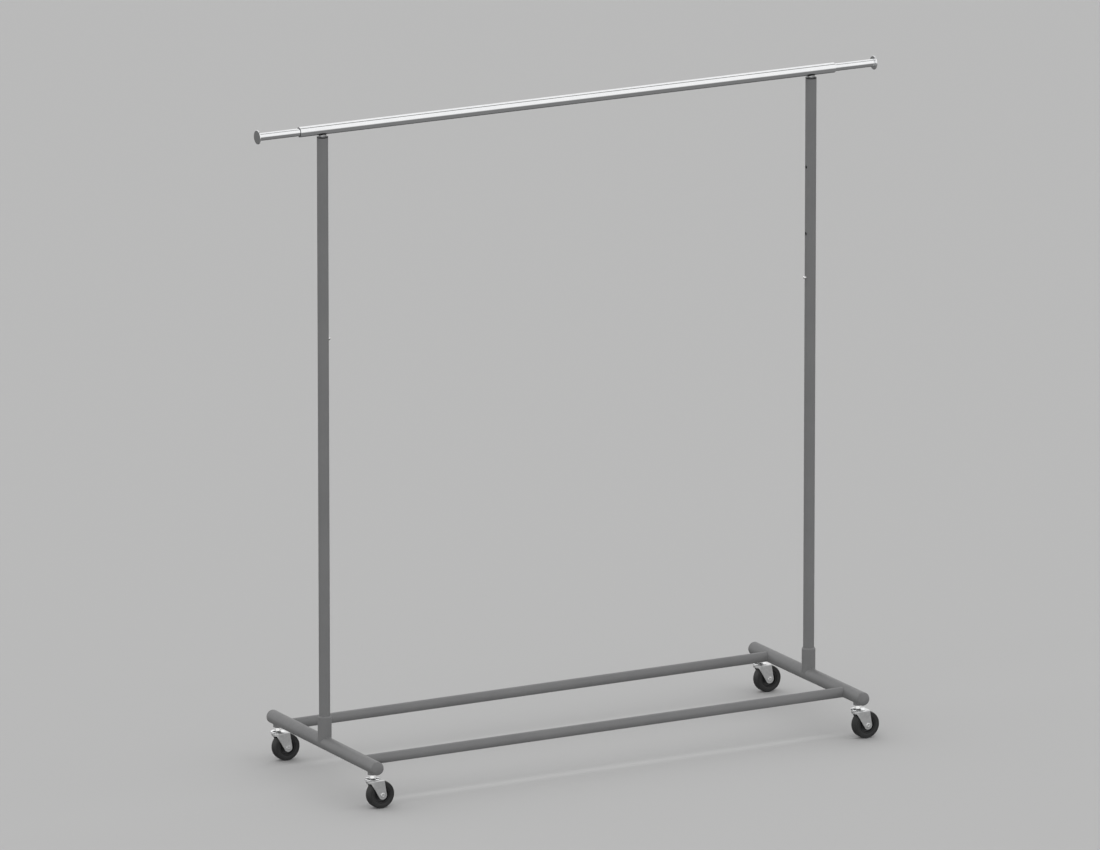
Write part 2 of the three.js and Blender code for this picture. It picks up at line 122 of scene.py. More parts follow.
def lathe(outline, sides=SMALL_SIDES):
    """The outline turned about Z. A point on the axis becomes one vertex."""
    shape = bmesh.new()
    rings = []
    for radius, height in outline:
        if radius < 1e-7:
            rings.append([shape.verts.new((0, 0, height))])
            continue
        turns = [2 * math.pi * i / sides for i in range(sides)]
        rings.append([shape.verts.new((radius * math.cos(t), radius * math.sin(t), height)) for t in turns])
    pairs = list(zip(rings, rings[1:]))
    if len(rings[0]) > 1 or len(rings[-1]) > 1:
        pairs.append((rings[-1], rings[0]))
    for a, b in pairs:
        for i in range(sides):
            j = (i + 1) % sides
            corners = [a[i % len(a)], a[j % len(a)], b[j % len(b)], b[i % len(b)]]
            corners = list(dict.fromkeys(corners))
            if len(corners) > 2:
                shape.faces.new(corners)
    bmesh.ops.recalc_face_normals(shape, faces=shape.faces)
    return shape


def pipe(outer, wall, bottom, top, sides=TUBE_SIDES, edge=TUBE_EDGE):
    """A tube along Z with rounded edges. Sizes in millimetres."""
    inner = outer - wall
    corners = [(inner, bottom, edge), (outer, bottom, edge), (outer, top, edge), (inner, top, edge)]
    return lathe(softened(corners), sides)


def cope(shape, cylinder_r, zone, far=None):
    """Bends the end of a tube that starts at height cylinder_r over a cylinder about Y, and the end at far
    over another. Sizes in millimetres."""
    radius = cylinder_r * MM
    for v in shape.verts:
        drop = radius - math.sqrt(max(radius**2 - v.co.x**2, 0))
        if v.co.z < zone * MM:
            v.co.z -= drop
        elif far is not None and v.co.z > (far - zone + cylinder_r) * MM:
            v.co.z += drop


def weld(tube_r, cylinder_r, bead_r, ripples=46):
    """A fillet bead round a tube along Z that stands on a cylinder about Y. Sizes in millimetres."""
    shape = bmesh.new()
    steps, sides = ripples * 4, 10
    reach = cylinder_r * 0.985
    path = []
    for i in range(steps):
        turn = 2 * math.pi * i / steps
        across = max(-reach, min(reach, tube_r * math.cos(turn)))
        path.append(Vector((across, tube_r * math.sin(turn), math.sqrt(cylinder_r**2 - across**2))) * MM)
    rings = []
    for i, point in enumerate(path):
        along = (path[(i + 1) % steps] - path[i - 1]).normalized()
        out = Vector((point.x, point.y, 0)).normalized()
        out = (out - along * out.dot(along)).normalized()
        side = along.cross(out)
        radius = bead_r * MM * (1 + 0.07 * math.sin(2 * math.pi * i * ripples / steps))
        turns = [2 * math.pi * k / sides for k in range(sides)]
        ways = [out * math.cos(t) + side * math.sin(t) for t in turns]
        rings.append([shape.verts.new(point + way * radius) for way in ways])
    for i, ring in enumerate(rings):
        ahead = rings[(i + 1) % steps]
        for k in range(sides):
            m = (k + 1) % sides
            shape.faces.new((ring[k], ring[m], ahead[m], ahead[k]))
    bmesh.ops.recalc_face_normals(shape, faces=shape.faces)
    return shape


def hexagon(flats, bottom, top, draft):
    """A forged hexagonal head with its corners chamfered, narrower at the top by the draft on each side.
    Sizes in millimetres."""
    shape = bmesh.new()
    sides = 72
    touch = flats / 2 * 0.98
    narrow = 1 - 2 * draft / flats
    slope = math.tan(math.radians(30))
    rings = [[] for _ in range(4)]
    for i in range(sides):
        turn = 2 * math.pi * i / sides
        edge = flats / 2 / math.cos((turn + math.pi / 6) % (math.pi / 3) - math.pi / 6)
        drop = (edge - touch) * slope
        for ring, (radius, height) in zip(
            rings,
            (
                (touch, bottom),
                (edge, bottom + drop),
                (edge * narrow, top - drop * 1.6),
                (touch * narrow * 0.96, top),
            ),
        ):
            place = Vector((radius * math.cos(turn), radius * math.sin(turn), height))
            ring.append(shape.verts.new(place * MM))
    for a, b in zip(rings, rings[1:]):
        for i in range(sides):
            j = (i + 1) % sides
            shape.faces.new((a[i], a[j], b[j], b[i]))
    shape.faces.new(rings[0][::-1])
    shape.faces.new(rings[-1])
    bmesh.ops.recalc_face_normals(shape, faces=shape.faces)
    return shape


def cut_holes(shape, heights, radius, far):
    """Round holes through the +X wall of a tube about Z, at heights in metres. Sizes in millimetres."""
    tube = bpy.data.objects.new("tube_blank", bpy.data.meshes.new("tube_blank"))
    shape.to_mesh(tube.data)
    SCENE.collection.objects.link(tube)
    cutters = []
    profile = [Vector(corner) * MM for corner in ((0, 0), (radius, 0), (radius, far), (0, far))]
    for height in heights:
        drill = lathe(profile, TURNED_SIDES)
        cutter = bpy.data.objects.new("drill", bpy.data.meshes.new("drill"))
        drill.transform(Matrix.Translation((0, 0, height)) @ Matrix.Rotation(math.pi / 2, 4, "Y"))
        drill.to_mesh(cutter.data)
        SCENE.collection.objects.link(cutter)
        cut = tube.modifiers.new("hole", "BOOLEAN")
        cut.operation, cut.solver, cut.object = "DIFFERENCE", "EXACT", cutter
        cutters.append(cutter)
    bpy.context.view_layer.update()
    made = bmesh.new()
    made.from_object(tube, bpy.context.evaluated_depsgraph_get())
    for o in (tube, *cutters):
        bpy.data.objects.remove(o)
    return made


def joined(*shapes):
    """Several shapes as one."""
    mesh = bpy.data.meshes.new("joined")
    whole = bmesh.new()
    for shape in shapes:
        shape.to_mesh(mesh)
        whole.from_mesh(mesh)
    bpy.data.meshes.remove(mesh)
    return whole


def show(name, shape, material, body, replaced=(), at=None, sharp=32):
    """Makes a piece of the finished object from a shape and puts it where it belongs."""
    if at is not None:
        shape.transform(at)
        if at.determinant() < 0:
            bmesh.ops.reverse_faces(shape, faces=shape.faces)
    mesh = bpy.data.meshes.new(name)
    shape.to_mesh(mesh)
    mesh.polygons.foreach_set("use_smooth", [True] * len(mesh.polygons))
    mesh.set_sharp_from_angle(angle=math.radians(sharp))
    mesh.materials.append(material)
    piece = bpy.data.objects.new(name, mesh)
    SCENE.collection.objects.link(piece)
    even = piece.modifiers.new("even_normals", "WEIGHTED_NORMAL")
    even.keep_sharp = True
    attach(piece, body)
    if replaced:
        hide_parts(*replaced)
    return piece


def finish_node(node, shape, material, at=None, sharp=32):
    """A piece that stands for one CAD node."""
    return show(f"{node}_shape", shape, material, BODY_OF[node], (node,), at, sharp)


def middle_and_half(node):
    """Middle of a node's box in metres and half its sides in millimetres."""
    low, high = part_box(node)
    return (low + high) / 2, (high - low) / 2 / MM


def towards(axis):
    """Turns local Z to a direction along +-X, +-Y or -Z, and keeps local Y on Y, or on Z for +-Y."""
    return {
        "+X": Matrix.Rotation(math.pi / 2, 4, "Y"),
        "-X": Matrix.Rotation(-math.pi / 2, 4, "Y"),
        "+Y": Matrix.Rotation(-math.pi / 2, 4, "X"),
        "-Y": Matrix.Rotation(math.pi / 2, 4, "X"),
        "+Z": Matrix.Identity(4),
        "-Z": Matrix.Rotation(math.pi, 4, "Y"),
    }[axis]


# ---- materials ----


class Graph:
    """A material's node tree, built from calls that read like the graph."""

    def __init__(self, name):
        self.material = bpy.data.materials.new(name)
        self.material.use_nodes = True
        self.tree = self.material.node_tree
        self.tree.nodes.clear()
        output = self.tree.nodes.new("ShaderNodeOutputMaterial")
        self.shader = self.tree.nodes.new("ShaderNodeBsdfPrincipled")
        self.tree.links.new(self.shader.outputs[0], output.inputs[0])
        self.place = self.tree.nodes.new("ShaderNodeTexCoord").outputs["Object"]

    def put(self, socket, value):
        if isinstance(value, bpy.types.NodeSocket):
            self.tree.links.new(value, socket)
        else:
            socket.default_value = value

    def add(self, kind, settings=None, **inputs):
        node = self.tree.nodes.new(kind)
        for key, value in (settings or {}).items():
            setattr(node, key, value)
        for key, value in inputs.items():
            self.put(node.inputs[key.replace("_", " ")], value)
        return node

    def noise(self, scale, detail=3, roughness=0.5, stretch=None):
        """Noise with features 1/scale metres across. stretch scales the coordinates first."""
        place = self.place
        if stretch:
            mapping = self.add("ShaderNodeMapping", Vector=place)
            mapping.inputs["Scale"].default_value = stretch
            place = mapping.outputs[0]
        made = self.add("ShaderNodeTexNoise", Vector=place, Scale=scale, Detail=detail, Roughness=roughness)
        return made.outputs["Fac"]

    def spread(self, value, low, high, start=0.3, end=0.7):
        """Maps a noise value from start..end to low..high."""
        made = self.add("ShaderNodeMapRange", Value=value)
        for key, number in (("From Min", start), ("From Max", end), ("To Min", low), ("To Max", high)):
            made.inputs[key].default_value = number
        return made.outputs[0]

    def tint(self, value, dark, light, start=0.3, end=0.7):
        """A colour between dark and light by a noise value."""
        ramp = self.add("ShaderNodeValToRGB", Fac=value)
        low, high = ramp.color_ramp.elements
        low.position, high.position = start, end
        low.color, high.color = (*dark, 1), (*light, 1)
        return ramp.outputs[0]

    def bump(self, height, distance, strength, below=None):
        made = self.add("ShaderNodeBump", Height=height, Distance=distance, Strength=strength)
        if below is not None:
            self.put(made.inputs["Normal"], below)
        return made.outputs[0]

    def finish(self, **inputs):
        for key, value in inputs.items():
            self.put(self.shader.inputs[key.replace("_", " ")], value)
        return self.material


def powder_coat(name, dark, light):
    """Satin powder coat: orange peel, a fine grain and slow changes of shade."""
    g = Graph(name)
    peel = g.noise(620, detail=1)
    grain = g.noise(2600, detail=2)
    cloud = g.noise(9, detail=4, roughness=0.6)
    scuff = g.noise(120, detail=6, roughness=0.7, stretch=(1, 1, 0.3))
    return g.finish(
        Base_Color=g.tint(cloud, dark, light),
        Roughness=g.spread(scuff, 0.4, 0.56),
        Normal=g.bump(grain, 0.00003, 0.35, g.bump(peel, 0.00012, 0.5)),
        Metallic=0.0,
    )


def chrome_plate(name, stretch):
    """Polished chrome: faint polishing lines along the tube and soft smears in the gloss."""
    g = Graph(name)
    lines = g.noise(900, detail=2, stretch=stretch)
    smear = g.noise(26, detail=5, roughness=0.65)
    haze = g.spread(smear, 0.045, 0.085)
    return g.finish(
        Base_Color=g.tint(smear, (0.86, 0.87, 0.88), (0.92, 0.925, 0.93)),
        Metallic=1.0,
        Roughness=haze,
        Normal=g.bump(lines, 0.000004, 0.25),
    )


def zinc_plate(name, dark, light, gloss, matt):
    """Bright zinc plate: cloudy passivation, rolled grain and small pits."""
    g = Graph(name)
    cloud = g.noise(140, detail=5, roughness=0.62)
    grain = g.noise(1500, detail=2, stretch=(0.25, 1, 1))
    pits = g.add("ShaderNodeTexVoronoi", Vector=g.place, Scale=900).outputs["Distance"]
    return g.finish(
        Base_Color=g.tint(cloud, dark, light),
        Metallic=1.0,
        Roughness=g.spread(g.noise(60, detail=6, roughness=0.7), gloss, matt),
        Normal=g.bump(pits, 0.00001, 0.3, g.bump(grain, 0.00002, 0.3)),
    )


def moulded_plastic(name, dark, light, gloss, matt):
    """Moulded nylon: a fine spark-eroded grain and slightly uneven gloss."""
    g = Graph(name)
    grain = g.noise(3200, detail=3)
    flow = g.noise(70, detail=4, roughness=0.6)
    return g.finish(
        Base_Color=g.tint(flow, dark, light),
        Roughness=g.spread(flow, gloss, matt),
        Normal=g.bump(grain, 0.00004, 0.4),
    )


def tyre_rubber(name):
    """Matt black rubber with a dusty bloom and a slightly pebbled skin."""
    g = Graph(name)
    pebble = g.add("ShaderNodeTexVoronoi", Vector=g.place, Scale=1300).outputs["Distance"]
    bloom = g.noise(55, detail=7, roughness=0.68)
    return g.finish(
        Base_Color=g.tint(bloom, (0.012, 0.012, 0.0125), (0.026, 0.026, 0.0265)),
        Roughness=g.spread(bloom, 0.5, 0.72),
        Normal=g.bump(pebble, 0.00003, 0.4, g.bump(bloom, 0.0001, 0.2)),
    )


GREY_PAINT = powder_coat("grey_powder_coat", (0.178, 0.179, 0.181), (0.198, 0.199, 0.2))
CHROME_X = chrome_plate("chrome_along_the_bar", (0.01, 1, 1))
CHROME_Z = chrome_plate("chrome_upright", (1, 1, 0.01))
CHROME_SPUN = chrome_plate("chrome_pressing", (1, 1, 1))
ZINC = zinc_plate("zinc_pressing", (0.68, 0.685, 0.69), (0.81, 0.815, 0.81), 0.3, 0.4)
BRIGHT_ZINC = zinc_plate("zinc_turned", (0.84, 0.845, 0.85), (0.94, 0.94, 0.93), 0.16, 0.26)
SPRING_STEEL = zinc_plate("spring_steel_strip", (0.34, 0.345, 0.355), (0.46, 0.46, 0.46), 0.25, 0.4)
# near-black weld on the posts: painted shade where the post meets the underside of the bar
POST_WELD_PAINTED_SHADE = zinc_plate("post_weld_painted_shade", (0.012, 0.012, 0.013), (0.04, 0.038, 0.036), 0.3, 0.5)
BLACK_NYLON = moulded_plastic("black_nylon", (0.012, 0.012, 0.013), (0.024, 0.024, 0.025), 0.36, 0.5)
GREY_CAP = moulded_plastic("grey_cap_plastic", (0.165, 0.166, 0.168), (0.19, 0.191, 0.192), 0.42, 0.55)
RUBBER = tyre_rubber("black_rubber")


# ---- base ----


def foot(node):
    centre, half = middle_and_half(node)
    shape = pipe(half.x, FOOT_WALL, -half.y, half.y)
    return finish_node(node, shape, GREY_PAINT, Matrix.Translation(centre) @ towards("+Y"))


def foot_cap(node, foot_node, sign):
    """Domed plug with a rolled rim, a shallow step behind it and a hollow barrel in the tube."""
    centre, half = middle_and_half(foot_node)
    low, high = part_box(node)
    tip = max(abs(low.y), abs(high.y)) / MM
    tail = min(abs(low.y), abs(high.y)) / MM
    radius, rim, start = half.x, 1.2, half.y + GAP
    plug = radius - FOOT_WALL - GAP
    dome_z = start + rim
    crown = []
    steps = 14
    for i in range(steps + 1):
        turn = math.pi / 2 * i / steps
        crown.append(((radius - 0.4) * math.sin(turn), dome_z + (tip - dome_z) * math.cos(turn), 0))
    corners = [
        *crown,
        (radius, dome_z - 0.2, 0.15),
        (radius, start, 0.3),
        (plug, start, 0.1),
        (plug, tail, 0.8),
        (plug - 2, tail, 0.5),
        (plug - 2, dome_z, 1),
        (0, dome_z + 2, 0),
    ]
    corners[0] = (0, tip, 0)
    at = Matrix.Translation((centre.x, 0, centre.z)) @ towards("+Y" if sign > 0 else "-Y")
    return finish_node(node, lathe(softened(corners), TUBE_SIDES), GREY_CAP, at)


def upright_socket(node, foot_node):
    """Sleeve on the foot with a chamfered mouth, its lower end bent over the round tube."""
    centre, half = middle_and_half(node)
    foot_centre, foot_half = middle_and_half(foot_node)
    top = (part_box(node)[1].z - foot_centre.z) / MM
    bore = middle_and_half(foot_node.replace("foot", "upright"))[1].y + SOCKET_BORE_GAP
    corners = [
        (bore, foot_half.x - 0.4, 0.2),
        (half.y, foot_half.x - 0.4, 0.2),
        (half.y, top - SOCKET_CHAMFER_RISE, 1),
        (half.y - SOCKET_CHAMFER, top, 0.2),
        (bore, top, 0.15),
    ]
    shape = lathe(softened(corners), TUBE_SIDES)
    cope(shape, foot_half.x, foot_half.x + 1)
    at = Matrix.Translation((centre.x, 0, foot_centre.z))
    finish_node(node, shape, GREY_PAINT, at)
    bead = weld(half.y, foot_half.x, WELD_R, 52)
    show(f"{node}_weld", bead, GREY_PAINT, BODY_OF[node], at=at)


def base_bar(node):
    """Tube between the feet with a bead of weld round each end."""
    centre, half = middle_and_half(node)
    left, foot_half = middle_and_half("left_foot")
    right, _ = middle_and_half("right_foot")
    span = (right.x - left.x) / MM
    foot_r = foot_half.x
    shape = pipe(half.z, BASE_BAR_WALL, foot_r - 0.4, span - foot_r + 0.4, TUBE_SIDES, 0.2)
    cope(shape, foot_r, foot_r + 2, span - foot_r)
    finish_node(node, shape, GREY_PAINT, Matrix.Translation((left.x, centre.y, centre.z)) @ towards("+X"))
    for side, axis, at_x in (("left", "+X", left.x), ("right", "-X", right.x)):
        at = Matrix.Translation((at_x, centre.y, centre.z)) @ towards(axis)
        bead = weld(half.z, foot_r, WELD_R, 40)
        show(f"{node}_{side}_weld", bead, GREY_PAINT, BODY_OF[node], at=at)


def caster_boss(node, foot_node):
    centre, half = middle_and_half(node)
    foot_centre, foot_half = middle_and_half(foot_node)
    bottom = (foot_centre.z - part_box(node)[0].z) / MM
    bore = STEM_R + GAP
    corners = [
        (bore, foot_half.x - 0.4, 0.1),
        (half.x, foot_half.x - 0.4, 0.1),
        (half.x, bottom, 0.6),
        (bore + 0.8, bottom, 0.1),
        (bore, bottom - 0.8, 0.1),
    ]
    shape = lathe(softened(corners), SMALL_SIDES)
    cope(shape, foot_half.x, foot_half.x + 0.3)
    at = Matrix.Translation((centre.x, centre.y, foot_centre.z)) @ towards("-Z")
    finish_node(node, shape, GREY_PAINT, at)
    bead = weld(half.x, foot_half.x, BOSS_WELD_R, 30)
    show(f"{node}_weld", bead, GREY_PAINT, BODY_OF[node], at=at)


# ---- uprights, posts and buttons ----


def upright(node, side, inward):
    """Tube with three setting holes on its inner side."""
    centre, half = middle_and_half(node)
    low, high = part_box(node)
    button = middle_and_half(f"{side}_snap_button")[0].z
    heights = [button + step * MM for step in SETTING_STEPS]
    outer, inner = half.y, half.y - UPRIGHT_WALL
    bottom, top = low.z / MM, high.z / MM
    near = 8
    stops = [h / MM + d for h in heights for d in (-near, near)]
    outside = [(outer, z, 0) for z in stops]
    inside = [(inner, z, 0) for z in reversed(stops)]
    corners = [
        (inner, bottom, TUBE_EDGE),
        (outer, bottom, TUBE_EDGE),
        *outside,
        (outer, top, TUBE_EDGE),
        (inner, top, TUBE_EDGE),
        *inside,
    ]
    shape = cut_holes(lathe(softened(corners), TUBE_SIDES), heights, SETTING_HOLE_R, outer + 4)
    turn = Matrix.Identity(4) if inward > 0 else Matrix.Rotation(math.pi, 4, "Z")
    finish_node(node, shape, GREY_PAINT, Matrix.Translation((centre.x, centre.y, 0)) @ turn)


def upright_collar(node, post_r, bore):
    """Nylon guide with a thin flange, a soft lead-in for the post and a barrel inside the tube."""
    centre, half = middle_and_half(node)
    low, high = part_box(node)
    top, bottom = high.z / MM, low.z / MM
    plug = bore - GAP
    corners = [
        (post_r + GAP, bottom, 0.3),
        (plug - 1, bottom, 0.3),
        (plug, bottom + 3, 0.5),
        (plug, top - COLLAR_FLANGE, 0.1),
        (half.y, top - COLLAR_FLANGE, 0.25),
        (half.y, top, 0.5),
        (post_r + 0.9, top, 0.2),
        (post_r + GAP, top - 0.6, 0.2),
    ]
    at = Matrix.Translation((centre.x, centre.y, 0))
    finish_node(node, lathe(softened(corners), TUBE_SIDES), BLACK_NYLON, at)


def post(node, bar_r, bar_z, button_z):
    """Chromed inner tube with its top shaped to the bar, a button hole and a bead of weld coloured near black
    as painted shade under the bar.
    """
    centre, half = middle_and_half(node)
    length = (bar_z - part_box(node)[0].z) / MM
    drop = (bar_z - button_z) / MM
    outer, inner = half.y, half.y - POST_WALL
    corners = [
        (inner, bar_r - 0.4, 0.1),
        (outer, bar_r - 0.4, 0.1),
        (outer, drop - 8, 0),
        (outer, drop + 8, 0),
        (outer, length, TUBE_EDGE),
        (inner, length, TUBE_EDGE),
        (inner, drop + 8, 0),
        (inner, drop - 8, 0),
    ]
    shape = lathe(softened(corners), SMALL_SIDES)
    # The bar runs along X, so the tube is bent with its local Y on the bar's axis and then turned.
    cope(shape, bar_r, bar_r + 1)
    shape.transform(Matrix.Rotation(math.pi / 2, 4, "Z"))
    facing = math.pi if centre.x > 0 else 0
    drilled = cut_holes(shape, [drop * MM], SETTING_HOLE_R, outer + 4)
    turn = Matrix.Rotation(facing, 4, "Z") @ Matrix.Scale(-1, 4, (0, 0, 1))
    at = Matrix.Translation((centre.x, centre.y, bar_z)) @ turn
    finish_node(node, drilled, CHROME_Z, at)
    bead = weld(outer, bar_r, POST_WELD_R, 26)
    bead.transform(Matrix.Rotation(math.pi / 2, 4, "Z"))
    # the bead is coloured near black to paint the shade under the bar
    show(f"{node}_weld", bead, POST_WELD_PAINTED_SHADE, BODY_OF[node], at=at)


def post_glide(node, post_r, side, inward):
    """Nylon shoe with four shallow grooves round it and a window for the button."""
    centre, half = middle_and_half(node)
    low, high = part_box(node)
    bottom, top = low.z / MM, high.z / MM
    outer = half.y
    lip, lip_r, groove = 6.7, 5, 0.5
    side_wall = []
    for z in (bottom + 10, bottom + 16, top - 16, top - 10):
        side_wall += [(outer, z - 1, 0.2), (outer - groove, z - 0.6, 0.2)]
        side_wall += [(outer - groove, z + 0.6, 0.2), (outer, z + 1, 0.2)]
    corners = [
        (lip_r, bottom, 0.4),
        (outer, bottom, 1),
        *side_wall,
        (outer, top, 1),
        (post_r + GAP, top, 0.3),
        (post_r + GAP, bottom + lip, 0.1),
        (lip_r, bottom + lip, 0.2),
    ]
    button = middle_and_half(f"{side}_snap_button")[0].z
    shape = cut_holes(lathe(softened(corners), SMALL_SIDES), [button], SETTING_HOLE_R, outer + 4)
    turn = Matrix.Identity(4) if inward > 0 else Matrix.Rotation(math.pi, 4, "Z")
    finish_node(node, shape, BLACK_NYLON, Matrix.Translation((centre.x, centre.y, 0)) @ turn)


def snap_button(node, upright_x, inward):
    """Steel pin with a domed tip and a turned groove behind the dome."""
    centre, half = middle_and_half(node)
    low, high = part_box(node)
    back, tip = sorted(abs(x - upright_x) / MM for x in (low.x, high.x))
    radius, dome = half.y, BUTTON_DOME
    crown = []
    steps = 10
    for i in range(steps + 1):
        turn = math.pi / 2 * i / steps
        crown.append((radius * math.sin(turn), tip - dome + dome * math.cos(turn), 0))
    crown[0] = (0, tip, 0)
    corners = [
        *crown,
        (radius, tip - dome - 1.2, 0.1),
        (radius - 0.3, tip - dome - 1.5, 0.1),
        (radius - 0.3, tip - dome - 2, 0.1),
        (radius, tip - dome - 2.3, 0.1),
        (radius, back, 0.4),
        (0, back, 0),
    ]
    at = Matrix.Translation((upright_x, centre.y, centre.z)) @ towards("+X" if inward > 0 else "-X")
    finish_node(node, lathe(softened(corners), 40), BRIGHT_ZINC, at)


def button_spring(node, upright_x, inward):
    """U-shaped strip with rounded edges."""
    centre, half = middle_and_half(node)
    low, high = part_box(node)
    reach = [(x - upright_x) * inward / MM for x in (low.x, high.x)]
    near, far = max(reach), min(reach)
    outer = (near - far) / 2
    bend_x = (near + far) / 2
    bottom, top = low.z / MM, high.z / MM
    bend_z = top - outer
    middle = [(near - SPRING_THICK / 2, bottom), (near - SPRING_THICK / 2, (bottom + bend_z) / 2)]
    radius = outer - SPRING_THICK / 2
    steps = 16
    for i in range(steps + 1):
        turn = math.pi * i / steps
        middle.append((bend_x + radius * math.cos(turn), bend_z + radius * math.sin(turn)))
    middle += [(far + SPRING_THICK / 2, (bottom + bend_z) / 2), (far + SPRING_THICK / 2, bottom)]
    points = [Vector((x, 0, z)) for x, z in middle]
    shape = bmesh.new()
    rings = []
    edge = 0.2
    w, t = half.y, SPRING_THICK / 2
    section = [
        (w - edge, -t), (w, -t + edge), (w, t - edge), (w - edge, t),
        (-w + edge, t), (-w, t - edge), (-w, -t + edge), (-w + edge, -t),
    ]
    for i, point in enumerate(points):
        along = (points[min(i + 1, len(points) - 1)] - points[max(i - 1, 0)]).normalized()
        out = Vector((0, 1, 0)).cross(along)
        rings.append([shape.verts.new((point + Vector((0, y, 0)) + out * o) * MM) for y, o in section])
    for a, b in zip(rings, rings[1:]):
        for k in range(len(section)):
            m = (k + 1) % len(section)
            shape.faces.new((a[k], a[m], b[m], b[k]))
    shape.faces.new(rings[0])
    shape.faces.new(rings[-1][::-1])
    bmesh.ops.recalc_face_normals(shape, faces=shape.faces)
    at = Matrix.Translation((upright_x, centre.y, 0)) @ Matrix.Scale(inward, 4, (1, 0, 0))
    finish_node(node, shape, SPRING_STEEL, at)


# ---- hang bar and extensions ----


def along_bar(sign, bar_z):
    return Matrix.Translation((0, 0, bar_z)) @ towards("+X" if sign > 0 else "-X")


def hang_bar(node):
    centre, half = middle_and_half(node)
    shape = pipe(half.z, BAR_WALL, -half.x, half.x, BAR_SIDES)
    return finish_node(node, shape, CHROME_X, along_bar(1, centre.z))


def bar_bush(node, sign, bar_z, extension_r):
    """Reducing bush inside the bar's end, with a lead-in for the extension."""
    low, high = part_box(node)
    tail, face = sorted((abs(low.x) / MM, abs(high.x) / MM))
    face -= BUSH_SUNK
    plug = middle_and_half(node)[1].z
    corners = [
        (extension_r + GAP, tail, 0.3),
        (plug, tail, 0.8),
        (plug, face, 0.15),
        (extension_r + GAP + 0.4, face, 0.1),
        (extension_r + GAP, face - 0.6, 0.1),
    ]
    finish_node(node, lathe(softened(corners), TUBE_SIDES), BLACK_NYLON, along_bar(sign, bar_z))


def extension(node, sign, bar_z):
    _, half = middle_and_half(node)
    low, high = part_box(node)
    start, end = sorted((abs(low.x) / MM, abs(high.x) / MM))
    shape = pipe(half.z, EXTENSION_WALL, start, end, TUBE_SIDES)
    finish_node(node, shape, CHROME_X, along_bar(sign, bar_z))


def end_stop(node, sign, bar_z, extension_r):
    """Pressed steel cap: a flat face, a rounded rim and a barrel in the extension."""
    _, half = middle_and_half(node)
    low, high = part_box(node)
    tail, face = sorted((abs(low.x) / MM, abs(high.x) / MM))
    rim = half.z
    plug = extension_r - EXTENSION_WALL - GAP
    corners = [
        (0, face - STOP_FLANGE, 0),
        (plug - STOP_WALL, face - STOP_FLANGE, 0.3),
        (plug - STOP_WALL, tail, 0.3),
        (plug, tail, 0.5),
        (plug, face - STOP_FLANGE, 0.2),
        (rim, face - STOP_FLANGE, 0.9),
        (rim, face, 0.9),
        (0, face, 0),
    ]
    finish_node(node, lathe(softened(corners, 6), TUBE_SIDES), CHROME_SPUN, along_bar(sign, bar_z))


def extension_guide(node, sign, bar_z, bar_r, extension_r):
    """Ring on the extension's inner end with a groove round its lip and a barrel inside the tube."""
    low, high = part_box(node)
    start, end = sorted((abs(low.x) / MM, abs(high.x) / MM))
    flange, bore = 8, 6.3
    outer, plug = bar_r - BAR_WALL - GAP, extension_r - EXTENSION_WALL - GAP
    corners = [
        (bore, start, 0.5),
        (outer, start, 1),
        (outer, start + 3, 0.3),
        (outer - 0.6, start + 3.6, 0.2),
        (outer - 0.6, start + 4.4, 0.2),
        (outer, start + 5, 0.3),
        (outer, start + flange, 0.4),
        (plug, start + flange, 0.1),
        (plug, end, 0.8),
        (bore, end, 0.5),
    ]
    finish_node(node, lathe(softened(corners), SMALL_SIDES), BLACK_NYLON, along_bar(sign, bar_z))


# ---- casters ----

FORK_TOP_Z = 74.4
FORK_THICK = 1.8
FORK_BEND = 2.6  # outer radius where the fork's top turns into its wall
FORK_SKIRT_Z = 66.5
FORK_SKIRT_X = -9.5  # where the front skirt ends and the legs start
FORK_BACK_X = 25.8
FORK_EYE_R = 10.8


